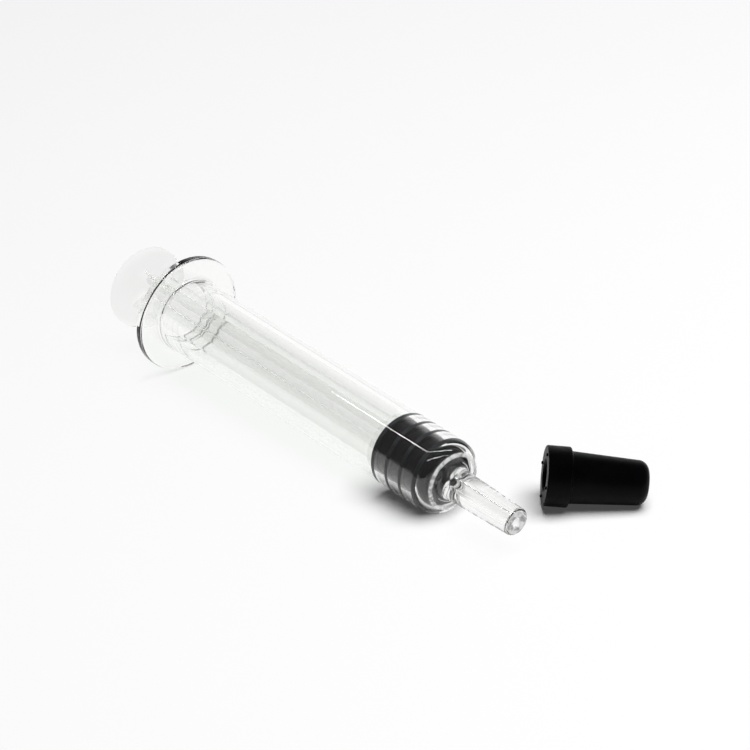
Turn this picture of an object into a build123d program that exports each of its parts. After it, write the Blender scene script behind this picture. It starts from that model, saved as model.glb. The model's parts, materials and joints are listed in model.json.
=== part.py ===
"""Glass oral syringe with a rubber-tipped plunger and a loose rubber tip cap.

Each piece is turned or built along its own +X axis and then laid where it rests.
The syringe's +X runs from the thumb pad to the tip, with 0 at the middle of the finger
flange. The row's origin is that same point, +X is level and points the way the tip does,
and +Z is up. The syringe and the cap lie on one level surface under the origin.
"""
from build123d import *
from math import asin, atan2, cos, degrees, hypot, radians, sin
import os

# glass barrel, mm
BARREL_R = 5.425            # outside of the tube
BORE_R = 4.325              # inside of the tube
FLANGE_R = 8.65
FLANGE_T = 1.5
FLANGE_EDGE = 0.5           # rounding of the flange's rim
FLANGE_ROOT = 0.7           # fillet between flange and tube
SHOULDER_X = 58.35          # front face of the shoulder
SHOULDER_EDGE = 2.25        # rounding of the shoulder
BORE_END_X = 57.25          # front face of the bore
BORE_END_EDGE = 1.1         # rounding between that face and the bore's wall
FUNNEL_R = 2.9              # where that face turns into a funnel
FUNNEL_EDGE = 0.3
FUNNEL_X = 58.9             # where the funnel narrows to the channel

# slip tip: a 6 per cent luer cone
TIP_X = 71.05
TIP_R = 1.98
LUER_SLOPE = 0.03           # radius gained per mm of length
TIP_ROOT = 0.8              # fillet between shoulder and cone
TIP_EDGE = 0.5
CHANNEL_R = 0.6
CHANNEL_EDGE = 0.3          # rounding where the channel opens at the tip
CHANNEL_ROOT = 0.4          # rounding where the channel leaves the funnel

# rubber stopper
STOPPER_X = 47.05           # rear face
RIB_COUNT = 4
RIB_PITCH = 2.75
RIB_W = 0.8
RIB_GAP = 0.015             # running clearance between a rib and the bore
RIB_EDGE = 0.15
RIB_ROOT = 0.12
WAIST_R = 3.95              # between the ribs
NOSE_X = 57.1               # front face of the nose
NOSE_SHOULDER = 0.8         # rounding between that face and the ribbed part
NOSE_R = 2.6                # where that face turns into a cone
NOSE_TIP_X = 58.7
NOSE_EDGE = 0.3

# snap-in joint between rod and stopper
NECK_R = 2.05
SNAP_R = 2.5
SNAP_STARTS = (48.9, 51.4)  # rear edges of the rod's two snap rings
SNAP_W = 1.0
HEAD_X = 53.8               # front end of the rod
HEAD_EDGE = 0.3
SNAP_GAP = 0.05             # clearance all round in the socket

# plunger rod
FIN_REACH = 3.45            # from the axis to a fin's edge
FIN_T = 1.0
FIN_TURN = 22.0             # degrees about the axis
FIN_ROOT = 0.4              # fillet where the fins cross
FIN_EDGE = 0.2
FIN_SINK = 0.2              # how far the fins run into the pad and the disc
GUIDE_R = 4.15              # disc behind the stopper
GUIDE_T = 1.0
GUIDE_EDGE = 0.2
GUIDE_GAP = 0.1             # between the disc and the stopper
PAD_X = -9.65               # middle of the thumb pad
PAD_R = 6.15
PAD_T = 1.4
PAD_EDGE = 0.55

# rubber tip cap, along its own +X from the mouth to the closed end
CAP_L = 14.0
COLLAR_R = 4.12
COLLAR_L = 3.25
MOUTH_EDGE = 0.2            # rounding of the collar's rim at the mouth
COLLAR_EDGE = 0.25          # rounding of the collar's front rim
CAP_STEP = 0.56             # from the collar down to the body
CAP_STEP_L = 0.2            # length that the step takes
CAP_STEP_EDGE = 0.2         # rounding at the foot of the step
CAP_END_R = 3.0
CAP_END_EDGE = 1.5
CAP_BORE_R = 2.1
CAP_BORE_L = 10.5
CAP_BORE_EDGE = 0.4         # rounding at the bore's blind end
CAP_LEAD = 0.25             # chamfer at the bore's mouth
NUB_COUNT = 4
NUB_RING_R = 3.26
NUB_TURN = 3.0              # degrees about the cap's axis to the first nub
NUB_R = 0.22
NUB_H = 0.2
NUB_EDGE = 0.1

# where the cap lies
CAP_MOUTH_XY = (63.48, 11.67)
CAP_HEADING = 51.9          # degrees from +X towards +Y


def touching_tilt(rear_x, rear_r, rear_edge, front_x, front_r, front_edge):
    """Degrees that a turned piece leans nose-down when it lies on its two rims, and the
    height of its axis above the surface at x = 0. Each rim is a rounded corner: its
    reach from the axis, and the x and radius of the rounding."""
    run = front_x - rear_x
    drop = (rear_r - rear_edge) - (front_r - front_edge)
    lean = atan2(drop, run) + asin((rear_edge - front_edge) / hypot(run, drop))
    height = rear_x * sin(lean) + (rear_r - rear_edge) * cos(lean) + rear_edge
    return degrees(lean), height


def turned(outline):
    """Solid turned about X from a closed outline of (x, radius, corner rounding)."""
    corners = [(x, r) for x, r, _ in outline]
    roundings = [rounding for _, _, rounding in outline]
    face = make_face(FilletPolyline(*corners, radius=roundings, close=True))
    return revolve(face, axis=Axis.X)


def luer_radius(x):
    return TIP_R + LUER_SLOPE * (TIP_X - x)


def glass_barrel():
    rear = -FLANGE_T / 2
    front = FLANGE_T / 2
    return turned(
        [
            (rear, BORE_R, FLANGE_EDGE),
            (rear, FLANGE_R, FLANGE_EDGE),
            (front, FLANGE_R, FLANGE_EDGE),
            (front, BARREL_R, FLANGE_ROOT),
            (SHOULDER_X, BARREL_R, SHOULDER_EDGE),
            (SHOULDER_X, luer_radius(SHOULDER_X), TIP_ROOT),
            (TIP_X, TIP_R, TIP_EDGE),
            (TIP_X, CHANNEL_R, CHANNEL_EDGE),
            (FUNNEL_X, CHANNEL_R, CHANNEL_ROOT),
            (BORE_END_X, FUNNEL_R, FUNNEL_EDGE),
            (BORE_END_X, BORE_R, BORE_END_EDGE),
        ]
    )


def snap_outline(x0, radius, ring_radius, gap, end_x):
    """Outline of the snap head, or of its socket, from x0 forwards to the axis."""
    points = [(x0, radius, 0)]
    for start in SNAP_STARTS:
        rear = start - gap
        front = start + SNAP_W + gap
        points += [(rear, radius, 0), (rear, ring_radius, 0), (front, radius, 0)]
    return points + [(end_x, radius, HEAD_EDGE), (end_x, 0, 0)]


def rubber_stopper():
    rib_r = BORE_R - RIB_GAP
    outline = [(STOPPER_X, rib_r, RIB_EDGE)]
    for i in range(RIB_COUNT):
        rear = STOPPER_X + i * RIB_PITCH
        front = rear + RIB_W
        if i:
            outline += [(rear, WAIST_R, RIB_ROOT), (rear, rib_r, RIB_EDGE)]
        outline += [(front, rib_r, RIB_EDGE), (front, WAIST_R, RIB_ROOT)]
    outline += [(NOSE_X, WAIST_R, NOSE_SHOULDER), (NOSE_X, NOSE_R, NOSE_EDGE)]
    outline.append((NOSE_TIP_X, 0, 0))
    socket = snap_outline(
        STOPPER_X, NECK_R + SNAP_GAP, SNAP_R + SNAP_GAP, SNAP_GAP, HEAD_X + 2 * SNAP_GAP
    )
    return turned(outline + socket[::-1])


def plunger_rod():
    pad_front = PAD_X + PAD_T / 2
    guide_front = STOPPER_X - GUIDE_GAP
    guide_rear = guide_front - GUIDE_T
    pad = turned(
        [
            (PAD_X - PAD_T / 2, 0, 0),
            (PAD_X - PAD_T / 2, PAD_R, PAD_EDGE),
            (pad_front, PAD_R, PAD_EDGE),
            (pad_front, 0, 0),
        ]
    )
    guide = turned(
        [
            (guide_rear, 0, 0),
            (guide_rear, GUIDE_R, GUIDE_EDGE),
            (guide_front, GUIDE_R, GUIDE_EDGE),
            (guide_front, 0, 0),
        ]
    )
    head = turned([(guide_rear, 0, 0)] + snap_outline(guide_rear, NECK_R, SNAP_R, 0, HEAD_X))
    flat = Rectangle(2 * FIN_REACH, FIN_T)
    upright = Rectangle(FIN_T, 2 * FIN_REACH)
    cross = flat + upright
    roots = cross.vertices().filter_by(lambda v: hypot(v.X, v.Y) < FIN_T)
    cross = fillet(roots, FIN_ROOT)
    edges = cross.vertices().filter_by(lambda v: hypot(v.X, v.Y) > 0.9 * FIN_REACH)
    cross = fillet(edges, FIN_EDGE)
    plane = Plane((pad_front - FIN_SINK, 0, 0), x_dir=(0, 1, 0), z_dir=(1, 0, 0))
    fins = extrude(plane * cross, guide_rear - pad_front + 2 * FIN_SINK)
    return pad + guide + head + Rot(X=FIN_TURN) * fins


def tip_cap():
    body_r = COLLAR_R - CAP_STEP
    cap = turned(
        [
            (0, CAP_BORE_R + CAP_LEAD, 0),
            (0, COLLAR_R, MOUTH_EDGE),
            (COLLAR_L, COLLAR_R, COLLAR_EDGE),
            (COLLAR_L + CAP_STEP_L, body_r, CAP_STEP_EDGE),
            (CAP_L, CAP_END_R, CAP_END_EDGE),
            (CAP_L, 0, 0),
            (CAP_BORE_L, 0, 0),
            (CAP_BORE_L, CAP_BORE_R, CAP_BORE_EDGE),
            (CAP_LEAD, CAP_BORE_R, 0),
        ]
    )
    for i in range(NUB_COUNT):
        turn = NUB_TURN + i * 360 / NUB_COUNT
        nub = Cylinder(NUB_R, 2 * NUB_H, rotation=(0, 90, 0))
        nub = fillet(nub.edges().sort_by(Axis.X)[:1], NUB_EDGE)
        cap += Rot(X=turn) * Pos(0, NUB_RING_R, 0) * nub
    return cap


# The syringe lies on the rims of its flange and its shoulder, the cap on its collar and
# its closed end; both lean nose-down by a few degrees.
syringe_lean, axis_height = touching_tilt(
    FLANGE_T / 2 - FLANGE_EDGE, FLANGE_R, FLANGE_EDGE,
    SHOULDER_X - SHOULDER_EDGE, BARREL_R, SHOULDER_EDGE,
)
cap_taper = (COLLAR_R - CAP_STEP - CAP_END_R) / (CAP_L - COLLAR_L - CAP_STEP_L)
cap_lean, cap_height = touching_tilt(
    COLLAR_L - COLLAR_EDGE, COLLAR_R, COLLAR_EDGE,
    CAP_L - CAP_END_EDGE, CAP_END_R + cap_taper * CAP_END_EDGE, CAP_END_EDGE,
)
syringe_place = Rot(Y=syringe_lean)
cap_place = (
    Pos(*CAP_MOUTH_XY, cap_height - axis_height) * Rot(Z=CAP_HEADING) * Rot(Y=cap_lean)
)

pieces = {
    "glass_barrel": syringe_place * glass_barrel(),
    "rubber_stopper": syringe_place * rubber_stopper(),
    "plunger_rod": syringe_place * plunger_rod(),
    "tip_cap": cap_place * tip_cap(),
}

os.makedirs("parts", exist_ok=True)
for name, solid in pieces.items():
    export_step(solid, f"parts/{name}.step")

lean = radians(syringe_lean)
print(f"syringe axis ({cos(lean):.6f}, 0, {-sin(lean):.6f}), surface at z {-axis_height:.4f}")
print("places on the row's frame, mm")
for label, x in (
    ("barrel middle", (FLANGE_T / 2 + FLANGE_ROOT + SHOULDER_X - SHOULDER_EDGE) / 2),
    ("rear of the pad", PAD_X - PAD_T / 2),
    ("rear of the flange", -FLANGE_T / 2),
    ("middle of the tip", 66.0),
):
    print(f"  {label} ({x * cos(lean):.4f}, 0, {-x * sin(lean):.4f})")
bore_middle = (cap_place * Pos(CAP_BORE_L / 2, 0, 0)).position
cap_axis = (cap_place * Pos(CAP_BORE_L / 2 + 1, 0, 0)).position - bore_middle
print(f"  middle of the cap's bore ({bore_middle.X:.4f}, {bore_middle.Y:.4f}, {bore_middle.Z:.4f})")
print(f"  the cap's axis ({cap_axis.X:.6f}, {cap_axis.Y:.6f}, {cap_axis.Z:.6f})")
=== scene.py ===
"""Glass oral syringe with its rubber cap beside it, on a white sweep in soft light.

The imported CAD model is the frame. Each turned piece is built again here as a finer mesh
from its outline and stands for its CAD node; the rod's CAD node stays. Outlines are in
millimetres along a piece's own axis, x forwards from the flange (or from the cap's mouth)
and r outwards.
"""
import json
from math import acos, cos, hypot, pi, radians, sin, tan

import bmesh
import bpy
from mathutils import Matrix, Vector


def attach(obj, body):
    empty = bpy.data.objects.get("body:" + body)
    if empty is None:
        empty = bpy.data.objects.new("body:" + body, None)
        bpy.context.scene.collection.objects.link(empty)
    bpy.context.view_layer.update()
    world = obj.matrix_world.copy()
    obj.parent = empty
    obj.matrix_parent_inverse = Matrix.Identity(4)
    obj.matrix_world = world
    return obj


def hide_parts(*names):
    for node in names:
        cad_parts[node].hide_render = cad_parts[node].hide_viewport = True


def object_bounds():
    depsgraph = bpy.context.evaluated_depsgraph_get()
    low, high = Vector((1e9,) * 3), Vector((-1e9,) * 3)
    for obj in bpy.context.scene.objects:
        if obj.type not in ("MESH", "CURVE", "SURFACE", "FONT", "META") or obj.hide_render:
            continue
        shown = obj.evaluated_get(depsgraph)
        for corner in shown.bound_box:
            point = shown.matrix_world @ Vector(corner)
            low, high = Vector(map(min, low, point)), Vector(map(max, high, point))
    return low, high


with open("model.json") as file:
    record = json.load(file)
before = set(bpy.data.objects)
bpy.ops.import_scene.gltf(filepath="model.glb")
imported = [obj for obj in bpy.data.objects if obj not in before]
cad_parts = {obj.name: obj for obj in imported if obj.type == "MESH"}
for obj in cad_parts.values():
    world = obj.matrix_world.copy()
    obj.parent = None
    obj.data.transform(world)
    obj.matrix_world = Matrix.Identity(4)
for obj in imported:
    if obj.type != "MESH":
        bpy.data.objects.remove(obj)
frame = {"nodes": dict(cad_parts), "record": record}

cad_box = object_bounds()
mounts = {m["name"]: m for m in frame["record"]["mounts"]}

MM = 0.001

# ---------------------------------------------------------------- driving dimensions, mm
# glass barrel
BARREL_R = mounts["barrel_outside"]["dims"]["r_mm"]
BORE_R = 4.325
FLANGE_R = mounts["flange_rim"]["dims"]["r_mm"]
FLANGE_T = 1.5
FLANGE_EDGE = 0.5           # rounding of the flange's rim
FLANGE_ROOT = 0.7           # fillet between flange and tube
SHOULDER_X = 58.35          # front face of the shoulder
SHOULDER_EDGE = 2.25        # rounding of the shoulder
BORE_END_X = 57.25          # front face of the bore
BORE_END_EDGE = 1.1         # rounding between that face and the bore's wall
FUNNEL_R = 2.9              # where that face turns into a funnel
FUNNEL_EDGE = 0.3
FUNNEL_X = 58.9             # where the funnel narrows to the channel

# slip tip: a 6 per cent luer cone
TIP_X = 71.05
TIP_R = 1.98
LUER_SLOPE = 0.03           # radius gained per mm of length
TIP_ROOT = 0.8              # fillet between shoulder and cone
TIP_EDGE = 0.5
CHANNEL_R = 0.6
CHANNEL_EDGE = 0.3          # rounding where the channel opens at the tip
CHANNEL_ROOT = 0.4          # rounding where the channel leaves the funnel

# milky glass, painted light
RING_LIGHT_IN_R = 3.6            # inside of the pale ring on the shoulder, a painted ring of refracted light
RING_LIGHT_OUT_R = 4.2
END_MILKINESS = 0.9             # how milky the cut end of the tip is, of 1; painted light for the white seen through it

# rubber stopper
STOPPER_X = 47.05           # rear face
RIB_COUNT = 4
RIB_PITCH = 2.75
RIB_W = 0.8
RIB_EDGE = 0.15
RIB_ROOT = 0.12
RIB_PRESS = 0.012           # how far a rib's rubber is pressed against the glass
WAIST_R = 3.95              # between the ribs
NOSE_X = 57.1               # front face of the nose
NOSE_SHOULDER = 0.8         # rounding between that face and the ribbed part
NOSE_R = 2.6                # where that face turns into a cone
NOSE_EDGE = 0.3
NOSE_TIP_X = 58.7
SOCKET_R = 2.1
SOCKET_X = 53.9             # front end of the socket
SOCKET_EDGE = 0.3
SNAP_R = 2.55
SNAP_STARTS = (48.85, 51.35)    # rear edges of the socket's two snap grooves
SNAP_W = 1.1

# rubber tip cap
CAP_L = 14.0
COLLAR_R = 4.12
COLLAR_L = 3.25
MOUTH_EDGE = 0.2            # rounding of the collar's rim at the mouth
COLLAR_EDGE = 0.25          # rounding of the collar's front rim
CAP_STEP = 0.56             # from the collar down to the body
CAP_STEP_L = 0.2            # length that the step takes
CAP_STEP_EDGE = 0.2         # rounding at the foot of the step
CAP_END_R = 3.0
CAP_END_EDGE = 1.5
CAP_BORE_R = mounts["cap_bore"]["dims"]["r_mm"]
CAP_BORE_L = 10.5
CAP_BORE_EDGE = 0.4         # rounding at the bore's blind end
CAP_LEAD = 0.25             # chamfer at the bore's mouth
LEAD_EDGE = 0.05            # softening of the chamfer's two edges
NUB_COUNT = 4
NUB_RING_R = 3.26
NUB_TURN = 3.0              # degrees about the cap's axis to the first nub
NUB_R = 0.22
NUB_H = 0.2
NUB_EDGE = 0.1

# ---------------------------------------------------------------- mesh
TURN_STEPS = 192            # facets round a turned piece
ARC_STEP = radians(5.0)     # turn from one facet of a rounded corner to the next, about
ARC_LEAST = 3               # fewest facets along a rounded corner
STRAIGHT = 1e-4             # a corner that turns by less, in radians, isn't rounded
ON_AXIS = 1e-6              # a point nearer to the axis, in mm, is one point
EDGE_LOOP = 0.05            # mm from a corner to the loop that keeps flats flat
SHORTEST_FLAT = 0.2         # mm; a shorter flat gets no such loops

# attributes that the materials read from a mesh's points
PRESSED = "pressed_and_lit"         # 1 where a rib touches the glass, 0 elsewhere; the stopper is painted a lighter grey there, as painted light
MILKY_LIGHT = "milky_light"         # how milky the glass is, 0 where it is clear; the milkiness is painted light


def corner_arc(before, corner, after, radius):
    """Points of the arc that rounds a corner of an outline."""
    a = (before - corner).normalized()
    b = (after - corner).normalized()
    turn = pi - acos(max(-1.0, min(1.0, a.dot(b))))
    if radius == 0 or turn < STRAIGHT:
        return [corner]
    reach = radius * tan(turn / 2)
    start = corner + a * reach
    centre = corner + (a + b).normalized() * (radius / cos(turn / 2))
    out = (start - centre).normalized()
    steps = max(ARC_LEAST, round(turn / ARC_STEP))
    return [
        centre + radius * (out * cos(turn * i / steps) - a * sin(turn * i / steps))
        for i in range(steps + 1)
    ]


def smooth_outline(outline):
    """Closed outline of (x, r, rounding) with its corners as arcs and loops beside them."""
    corners = [Vector((x, r)) for x, r, _ in outline]
    count = len(corners)
    arcs = []
    for i in range(count):
        arc = corner_arc(corners[i - 1], corners[i], corners[(i + 1) % count], outline[i][2])
        arcs.append(arc)
    result = []
    for i, arc in enumerate(arcs):
        result += arc
        start = arc[-1]
        end = arcs[(i + 1) % count][0]
        length = (end - start).length
        if length > SHORTEST_FLAT and max(start.y, end.y) > 0:
            along = (end - start) / length
            result += [start + along * EDGE_LOOP, end - along * EDGE_LOOP]
    return result


def turned(name, outline, place):
    """Closed mesh of an outline turned about the piece's X axis, put in its place."""
    rings = []
    verts = []
    for p in smooth_outline(outline):
        if p.y < ON_AXIS:
            rings.append([len(verts)] * TURN_STEPS)
            verts.append((p.x, 0.0, 0.0))
            continue
        rings.append(list(range(len(verts), len(verts) + TURN_STEPS)))
        for k in range(TURN_STEPS):
            angle = 2 * pi * k / TURN_STEPS
            verts.append((p.x, p.y * cos(angle), p.y * sin(angle)))
    faces = []
    for i, ring in enumerate(rings):
        other = rings[(i + 1) % len(rings)]
        for k in range(TURN_STEPS):
            n = (k + 1) % TURN_STEPS
            loop = list(dict.fromkeys((ring[k], other[k], other[n], ring[n])))
            if len(loop) > 2:
                faces.append(loop)
    return mesh_piece(name, verts, faces, place)


def mesh_piece(name, verts, faces, place):
    """Object of a mesh given in millimetres, smooth and facing outwards."""
    mesh = bpy.data.meshes.new(name)
    mesh.from_pydata(verts, [], faces)
    mesh.transform(place @ Matrix.Scale(MM, 4))
    mesh.validate()
    mesh.polygons.foreach_set("use_smooth", [True] * len(mesh.polygons))
    turn_outwards(mesh)
    piece = bpy.data.objects.new(name, mesh)
    bpy.context.scene.collection.objects.link(piece)
    return piece


def turn_outwards(mesh):
    bm = bmesh.new()
    bm.from_mesh(mesh)
    bmesh.ops.recalc_face_normals(bm, faces=bm.faces)
    bm.to_mesh(mesh)
    bm.free()


def placement(origin, axis):
    """Matrix that lays a piece's own X along axis, with its Y level."""
    x = Vector(axis).normalized()
    y = Vector((0, 0, 1)).cross(x).normalized()
    z = x.cross(y)
    turn = Matrix((x, y, z)).transposed().to_4x4()
    return Matrix.Translation(origin) @ turn


def in_metres(matrix):
    """The same matrix with its shift turned from millimetres into metres."""
    result = matrix.copy()
    result.translation = matrix.translation * MM
    return result


def mark_points(piece, place, name, share):
    """Mark the points of a turned piece with share(x, r), x and r as in its outline."""
    back = place.inverted()
    marks = piece.data.attributes.new(name, "FLOAT", "POINT")
    for point, mark in zip(piece.data.vertices, marks.data):
        x, y, z = (back @ point.co) / MM
        mark.value = share(x, hypot(y, z))


# ---------------------------------------------------------------- materials
NOISE_LOW = 0.3             # nearly all of a noise lies between these two
NOISE_HIGH = 0.7


class Material:
    """A node material with one Principled shader and short calls to add nodes to it."""

    def __init__(self, name, **settings):
        self.data = bpy.data.materials.new(name)
        self.data.use_nodes = True
        self.tree = self.data.node_tree
        self.shader = self.tree.nodes["Principled BSDF"]
        self.output = self.tree.nodes["Material Output"]
        self.coords = self.tree.nodes.new("ShaderNodeTexCoord").outputs["Object"]
        for socket, value in settings.items():
            self.shader.inputs[socket.replace("_", " ")].default_value = value

    def link(self, a, b):
        self.tree.links.new(a, b)

    def noise(self, scale, detail=3.0):
        node = self.tree.nodes.new("ShaderNodeTexNoise")
        node.inputs["Scale"].default_value = scale
        node.inputs["Detail"].default_value = detail
        self.link(self.coords, node.inputs["Vector"])
        return node.outputs["Fac"]

    def spread(self, value, low, high, start=NOISE_LOW, end=NOISE_HIGH):
        """Number that goes from low to high as value goes from start to end."""
        node = self.tree.nodes.new("ShaderNodeMapRange")
        node.inputs["From Min"].default_value = start
        node.inputs["From Max"].default_value = end
        node.inputs["To Min"].default_value = low
        node.inputs["To Max"].default_value = high
        self.link(value, node.inputs["Value"])
        return node.outputs["Result"]

    def ramp(self, value, low, high):
        """Colour that goes from low to high over a noise's range."""
        node = self.tree.nodes.new("ShaderNodeValToRGB")
        node.color_ramp.elements[0].position = NOISE_LOW
        node.color_ramp.elements[0].color = (*low, 1)
        node.color_ramp.elements[1].position = NOISE_HIGH
        node.color_ramp.elements[1].color = (*high, 1)
        self.link(value, node.inputs["Fac"])
        return node.outputs["Color"]

    def attribute(self, name):
        node = self.tree.nodes.new("ShaderNodeAttribute")
        node.attribute_name = name
        return node.outputs["Fac"]

    def times(self, a, b):
        node = self.tree.nodes.new("ShaderNodeMath")
        node.operation = "MULTIPLY"
        self.link(a, node.inputs[0])
        self.link(b, node.inputs[1])
        return node.outputs["Value"]

    def mix(self, share, a, b):
        node = self.tree.nodes.new("ShaderNodeMix")
        node.data_type = "RGBA"
        self.link(share, node.inputs["Factor"])
        self.link(a, node.inputs["A"])
        self.link(b, node.inputs["B"])
        return node.outputs["Result"]

    def bump(self, height, strength, distance):
        node = self.tree.nodes.new("ShaderNodeBump")
        node.inputs["Strength"].default_value = strength
        node.inputs["Distance"].default_value = distance
        self.link(height, node.inputs["Height"])
        self.link(node.outputs["Normal"], self.shader.inputs["Normal"])

    def lets_lamps_through(self, color):
        """Light from lamps crosses the piece, dimmed to color, as it does clear glass."""
        path = self.tree.nodes.new("ShaderNodeLightPath")
        clear = self.tree.nodes.new("ShaderNodeBsdfTransparent")
        clear.inputs["Color"].default_value = (*color, 1)
        mix = self.tree.nodes.new("ShaderNodeMixShader")
        self.link(path.outputs["Is Shadow Ray"], mix.inputs["Fac"])
        self.link(self.shader.outputs["BSDF"], mix.inputs[1])
        self.link(clear.outputs["BSDF"], mix.inputs[2])
        self.link(mix.outputs["Shader"], self.output.inputs["Surface"])


TINT = ((0.985, 0.99, 0.98), (0.995, 1.0, 0.99))   # of the glass and the clear plastic


def glass_material():
    """Clear, faintly rippled glass that is milky where the mesh says so, as painted light."""
    m = Material("clear_glass", Transmission_Weight=1.0, IOR=1.5, Specular_IOR_Level=0.12)
    m.link(m.ramp(m.noise(scale=180.0), *TINT), m.shader.inputs["Base Color"])
    m.link(m.spread(m.noise(scale=900.0), 0.0, 0.012), m.shader.inputs["Roughness"])
    m.bump(m.noise(scale=160.0, detail=1.0), strength=0.004, distance=0.0002)
    # painted light: the milky share turns the glass a lamp-lit white, in a beaded ring on the
    # shoulder and on the tip's cut end
    mottle = m.spread(m.noise(scale=1500.0, detail=1.0), 0.45, 1.0, start=0.4, end=0.6)
    milky = m.times(m.attribute(MILKY_LIGHT), mottle)
    clear = m.spread(milky, 1.0, 0.05, start=0.0, end=1.0)
    m.link(clear, m.shader.inputs["Transmission Weight"])
    m.lets_lamps_through((0.998, 1.0, 0.998))
    return m.data


def rod_material():
    """Clear moulded plastic with a satin skin and a slight milkiness."""
    m = Material("milky_plastic", Transmission_Weight=0.93, IOR=1.05)
    m.link(m.ramp(m.noise(scale=150.0), *TINT), m.shader.inputs["Base Color"])
    m.link(m.spread(m.noise(scale=700.0), 0.12, 0.22), m.shader.inputs["Roughness"])
    m.bump(m.noise(scale=1500.0), strength=0.05, distance=0.0001)
    m.lets_lamps_through((0.99, 0.995, 0.99))
    return m.data


def stopper_material():
    """Black rubber painted a lighter grey on the rib faces that touch the glass: painted light
    there, painted shade between the ribs.
    """
    m = Material("stopper_rubber", IOR=1.5, Specular_IOR_Level=0.12)
    # painted light and shade: the lighter grey on the ribs stands in for the light seen through the
    # glass where they touch it, and the darker rubber stands in for the shade in the grooves
    loose = m.ramp(m.noise(scale=400.0), (0.003, 0.003, 0.0035), (0.007, 0.007, 0.008))
    pressed_and_lit = m.ramp(m.noise(scale=900.0), (0.026, 0.028, 0.030), (0.042, 0.044, 0.047))
    m.link(m.mix(m.attribute(PRESSED), loose, pressed_and_lit), m.shader.inputs["Base Color"])
    m.link(m.spread(m.noise(scale=1200.0), 0.35, 0.5), m.shader.inputs["Roughness"])
    m.bump(m.noise(scale=4000.0), strength=0.15, distance=0.00005)
    return m.data


def cap_material():
    """Satin rubber of a deeper black than the stopper's."""
    m = Material("cap_rubber", IOR=1.5, Specular_IOR_Level=0.06)
    tone = m.ramp(m.noise(scale=350.0), (0.0004, 0.0004, 0.0006), (0.0012, 0.0012, 0.0016))
    m.link(tone, m.shader.inputs["Base Color"])
    m.link(m.spread(m.noise(scale=900.0), 0.34, 0.5), m.shader.inputs["Roughness"])
    m.bump(m.noise(scale=5000.0), strength=0.25, distance=0.00006)
    return m.data


# ---------------------------------------------------------------- pieces
def luer_radius(x):
    return TIP_R + LUER_SLOPE * (TIP_X - x)


def milky_light_share(x, r):
    """How milky the glass is: on the shoulder's pale ring and on the cut end of the tip, both
    painted light for bright light seen through the clear glass.
    """
    if x > BORE_END_X and RING_LIGHT_IN_R < r < RING_LIGHT_OUT_R:
        return 1.0
    if x > TIP_X - CHANNEL_EDGE and r < TIP_R - TIP_EDGE / 2:
        return END_MILKINESS
    return 0.0


def glass_barrel(place):
    rear = -FLANGE_T / 2
    front = FLANGE_T / 2
    outline = [
        (rear, BORE_R, FLANGE_EDGE),
        (rear, FLANGE_R, FLANGE_EDGE),
        (front, FLANGE_R, FLANGE_EDGE),
        (front, BARREL_R, FLANGE_ROOT),
        (SHOULDER_X, BARREL_R, SHOULDER_EDGE),
        (SHOULDER_X, luer_radius(SHOULDER_X), TIP_ROOT),
        (TIP_X, TIP_R, TIP_EDGE),
        (TIP_X, CHANNEL_R, CHANNEL_EDGE),
        (FUNNEL_X, CHANNEL_R, CHANNEL_ROOT),
        (BORE_END_X, FUNNEL_R, FUNNEL_EDGE),
        (BORE_END_X, BORE_R, BORE_END_EDGE),
    ]
    piece = turned("barrel_glass", outline, place)
    mark_points(piece, place, MILKY_LIGHT, milky_light_share)
    return piece


def rubber_stopper(place):
    rib_r = BORE_R + RIB_PRESS
    outline = [(STOPPER_X, rib_r, RIB_EDGE)]
    for i in range(RIB_COUNT):
        rear = STOPPER_X + i * RIB_PITCH
        front = rear + RIB_W
        if i:
            outline += [(rear, WAIST_R, RIB_ROOT), (rear, rib_r, RIB_EDGE)]
        outline += [(front, rib_r, RIB_EDGE), (front, WAIST_R, RIB_ROOT)]
    outline += [
        (NOSE_X, WAIST_R, NOSE_SHOULDER),
        (NOSE_X, NOSE_R, NOSE_EDGE),
        (NOSE_TIP_X, 0, 0),
        (SOCKET_X, 0, 0),
        (SOCKET_X, SOCKET_R, SOCKET_EDGE),
    ]
    for start in reversed(SNAP_STARTS):
        front = start + SNAP_W
        outline += [(front, SOCKET_R, 0), (start, SNAP_R, 0), (start, SOCKET_R, 0)]
    outline.append((STOPPER_X, SOCKET_R, 0))
    piece = turned("stopper_rubber_piece", outline, place)
    mark_points(piece, place, PRESSED, lambda x, r: float(r > BORE_R))
    return piece


def tip_cap(place):
    body_r = COLLAR_R - CAP_STEP
    outline = [
        (0, CAP_BORE_R + CAP_LEAD, LEAD_EDGE),
        (0, COLLAR_R, MOUTH_EDGE),
        (COLLAR_L, COLLAR_R, COLLAR_EDGE),
        (COLLAR_L + CAP_STEP_L, body_r, CAP_STEP_EDGE),
        (CAP_L, CAP_END_R, CAP_END_EDGE),
        (CAP_L, 0, 0),
        (CAP_BORE_L, 0, 0),
        (CAP_BORE_L, CAP_BORE_R, CAP_BORE_EDGE),
        (CAP_LEAD, CAP_BORE_R, LEAD_EDGE),
    ]
    return turned("cap_rubber_piece", outline, place)


def cap_nub(place, number):
    """One of the small round nubs on the cap's mouth."""
    outline = [(-NUB_H, 0, 0), (-NUB_H, NUB_R, NUB_EDGE), (NUB_H, NUB_R, 0), (NUB_H, 0, 0)]
    turn = radians(NUB_TURN + number * 360 / NUB_COUNT)
    spot = Matrix.Rotation(turn, 4, "X") @ Matrix.Translation((0, NUB_RING_R, 0))
    return turned(f"cap_nub_{number + 1}", outline, place @ in_metres(spot))


def finish_piece(piece, body, slot, material, *nodes):
    """Give a piece its material and body, and hide the CAD nodes that it stands for."""
    piece.data.materials.append(material)
    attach(piece, body)
    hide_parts(*nodes)


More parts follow.
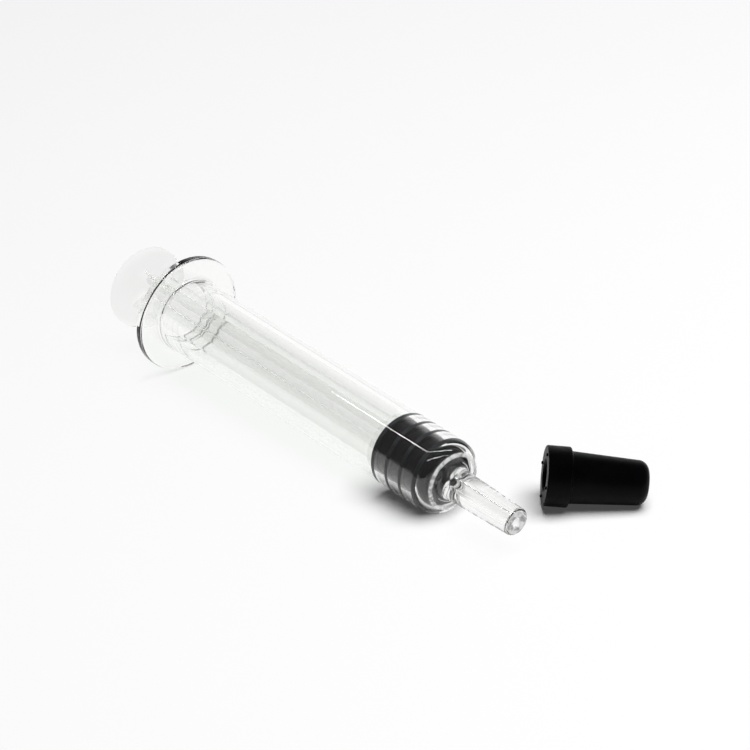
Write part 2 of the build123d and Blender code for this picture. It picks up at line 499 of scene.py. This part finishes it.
syringe_place = placement((0, 0, 0), mounts["barrel_outside"]["axis"])
cap_axis = -Vector(mounts["cap_bore"]["axis"])
cap_mouth = Vector(mounts["cap_bore"]["pos_m"]) - cap_axis * (CAP_BORE_L / 2 * MM)
cap_place = placement(cap_mouth, cap_axis)

barrel = glass_barrel(syringe_place)
finish_piece(barrel, "barrel", "glass", glass_material(), "glass_barrel")
finish_piece(
    rubber_stopper(syringe_place), "stopper", "stopper_rubber", stopper_material(), "rubber_stopper"
)
cap_rubber = cap_material()
finish_piece(tip_cap(cap_place), "cap", "cap_rubber", cap_rubber, "tip_cap")
for number in range(NUB_COUNT):
    finish_piece(cap_nub(cap_place, number), "cap", "cap_rubber", cap_rubber)

rod = frame["nodes"]["plunger_rod"]
rod.data.materials.clear()
rod.data.materials.append(rod_material())

# ---------------------------------------------------------------- floor, light and camera
VIEW_AZIMUTH = radians(49.92)
VIEW_ELEVATION = radians(27.0)
VIEW_DISTANCE = 0.5         # m
VIEW_TARGET = Vector((0.04027, 0.00149, 0.00517))   # in the middle of the picture, m
LENS = 176.9                # mm
SENSOR = 36.0               # mm across
CLIP_NEAR = 0.01            # m
CLIP_FAR = 20.0

FLOOR_SIZE = 6.0            # m
FLOOR_GLOW = 0.06           # share of the floor's white that is its own light
BACKDROP = 1.0              # brightness of the white backdrop, straight behind the object
ROOM = 0.15                 # brightness of the room everywhere else
BACKDROP_EDGE = (0.75, 0.92)    # cosine from the backdrop's middle over which it ends
LIGHT_DISTANCE = 1.0        # from the target to every lamp, m
KEY_DIRECTION = (0.2, 0.16, 0.96)
KEY_SIZE = 0.8              # m
KEY_WATTS = 12.4
STRIP_WIDTH = 0.03          # m
STRIP_GLOW = 70.0           # watts per square metre
STRIPS = (                  # two bent lamps overhead, as the directions of their corners
    ((-0.62, -0.21, 0.76), (-0.11, -0.15, 0.98), (0.34, 0.085, 0.935), (0.65, 0.56, 0.51)),
    ((0.12, -0.58, 0.80), (0.52, -0.31, 0.80), (0.84, 0.39, 0.38)),
)
MOST_BOUNCES = 40           # light crosses many faces of glass and clear plastic
MIRROR_BOUNCES = 32
GLASS_BOUNCES = 32


def floor():
    """White sheet under the object's lowest point."""
    half = FLOOR_SIZE / 2
    z = cad_box[0].z
    corners = [(-half, -half, z), (half, -half, z), (half, half, z), (-half, half, z)]
    mesh = bpy.data.meshes.new("floor")
    mesh.from_pydata(corners, [], [(0, 1, 2, 3)])
    sheet = bpy.data.objects.new("floor", mesh)
    bpy.context.scene.collection.objects.link(sheet)
    m = Material(
        "white_sweep",
        Roughness=0.9,
        Specular_IOR_Level=0.0,
        Emission_Color=(1.0, 1.0, 1.0, 1.0),
        Emission_Strength=FLOOR_GLOW,
    )
    tint = m.ramp(m.noise(scale=3.0), (0.93, 0.93, 0.93), (0.95, 0.95, 0.95))
    m.link(tint, m.shader.inputs["Base Color"])
    mesh.materials.append(m.data)


def lamp(name, middle, facing, size, size_y, watts):
    """Rectangular lamp at middle that shines along the -Z of facing, a 3 x 3 matrix."""
    data = bpy.data.lights.new(name, "AREA")
    data.shape = "RECTANGLE"
    data.size = size
    data.size_y = size_y
    data.energy = watts
    piece = bpy.data.objects.new(name, data)
    bpy.context.scene.collection.objects.link(piece)
    piece.matrix_world = Matrix.Translation(middle) @ facing.to_4x4()
    return piece


def key_light():
    """Large lamp overhead that gives the soft shadows and doesn't show in the glass."""
    away = Vector(KEY_DIRECTION).normalized()
    facing = away.to_track_quat("Z", "Y").to_matrix()
    key = lamp("key", VIEW_TARGET + away * LIGHT_DISTANCE, facing, KEY_SIZE, KEY_SIZE, KEY_WATTS)
    key.visible_glossy = False
    key.visible_transmission = False


def strip_light(name, start, end, mirrors):
    """Thin lamp between two directions, which only shows as a line in the mirrors."""
    a = VIEW_TARGET + Vector(start).normalized() * LIGHT_DISTANCE
    b = VIEW_TARGET + Vector(end).normalized() * LIGHT_DISTANCE
    middle = (a + b) / 2
    along = (b - a).normalized()
    across = along.cross(middle - VIEW_TARGET).normalized()
    facing = Matrix((across, along, across.cross(along))).transposed()
    length = (b - a).length
    strip = lamp(name, middle, facing, STRIP_WIDTH, length, STRIP_GLOW * STRIP_WIDTH * length)
    strip.visible_diffuse = False
    strip.visible_transmission = False
    strip.light_linking.receiver_collection = mirrors


def strip_lights(*mirrors):
    collection = bpy.data.collections.new("mirrors")
    for piece in mirrors:
        collection.objects.link(piece)
    for strip, corners in enumerate(STRIPS, 1):
        for part, (start, end) in enumerate(zip(corners, corners[1:]), 1):
            strip_light(f"strip_{strip}_{part}", start, end, collection)


def studio():
    """White backdrop low down behind the object, in a dim room."""
    world = bpy.data.worlds.new("studio")
    bpy.context.scene.world = world
    world.use_nodes = True
    world.cycles_visibility.diffuse = False
    tree = world.node_tree
    back = tree.nodes["Background"]
    back.inputs["Color"].default_value = (1, 1, 1, 1)
    coords = tree.nodes.new("ShaderNodeTexCoord")
    along = tree.nodes.new("ShaderNodeVectorMath")
    along.operation = "DOT_PRODUCT"
    along.inputs[1].default_value = (-sin(VIEW_AZIMUTH), cos(VIEW_AZIMUTH), 0.0)
    tree.links.new(coords.outputs["Generated"], along.inputs[0])
    level = tree.nodes.new("ShaderNodeMapRange")
    level.interpolation_type = "SMOOTHSTEP"
    level.inputs["From Min"].default_value = BACKDROP_EDGE[0]
    level.inputs["From Max"].default_value = BACKDROP_EDGE[1]
    level.inputs["To Min"].default_value = ROOM
    level.inputs["To Max"].default_value = BACKDROP
    tree.links.new(along.outputs["Value"], level.inputs["Value"])
    tree.links.new(level.outputs["Result"], back.inputs["Strength"])


def camera():
    data = bpy.data.cameras.new("camera")
    data.sensor_width = SENSOR
    data.lens = LENS
    data.clip_start = CLIP_NEAR
    data.clip_end = CLIP_FAR
    cam = bpy.data.objects.new("camera", data)
    bpy.context.scene.collection.objects.link(cam)
    level = cos(VIEW_ELEVATION)
    forward = Vector((-sin(VIEW_AZIMUTH) * level, cos(VIEW_AZIMUTH) * level, -sin(VIEW_ELEVATION)))
    cam.location = VIEW_TARGET - forward * VIEW_DISTANCE
    cam.rotation_euler = forward.to_track_quat("-Z", "Y").to_euler()
    bpy.context.scene.camera = cam


def render_settings():
    """Plain colours, and enough bounces for the glass; no caustics from the lamps."""
    scene = bpy.context.scene
    scene.view_settings.view_transform = "Standard"
    scene.cycles.caustics_reflective = False
    scene.cycles.caustics_refractive = False
    scene.cycles.max_bounces = MOST_BOUNCES
    scene.cycles.glossy_bounces = MIRROR_BOUNCES
    scene.cycles.transmission_bounces = GLASS_BOUNCES


floor()
studio()
key_light()
strip_lights(barrel)
camera()
render_settings()
